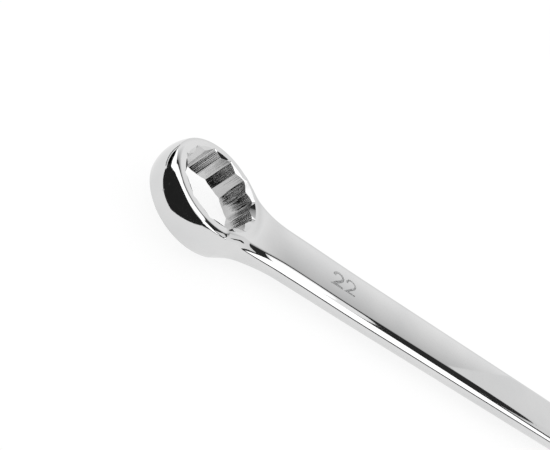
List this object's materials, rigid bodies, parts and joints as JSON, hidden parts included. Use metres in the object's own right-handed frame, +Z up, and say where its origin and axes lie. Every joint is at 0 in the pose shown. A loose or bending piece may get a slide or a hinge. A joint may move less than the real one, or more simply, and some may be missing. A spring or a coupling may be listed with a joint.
{
  "type": "combination wrench",
  "caption": "Chromed combination wrench for hexagon nuts: a double-hexagon box end offset from a straight flat shank, and an open end with angled jaws.",
  "frame": {"origin": "middle of the bottom of the bounding box", "axes": "+X along the shank from the box end to the open end, +Z up out of the shank's top face, +Y across the shank"},
  "size_m": [0.2892, 0.046, 0.0179],
  "materials": {
    "polished_chrome": "mirror-polished nickel-chrome plating on forged steel"
  },
  "bodies": {
    "root": {"box_end": "polished_chrome", "shank": "polished_chrome", "open_end": "polished_chrome"}
  },
  "joints": []
}
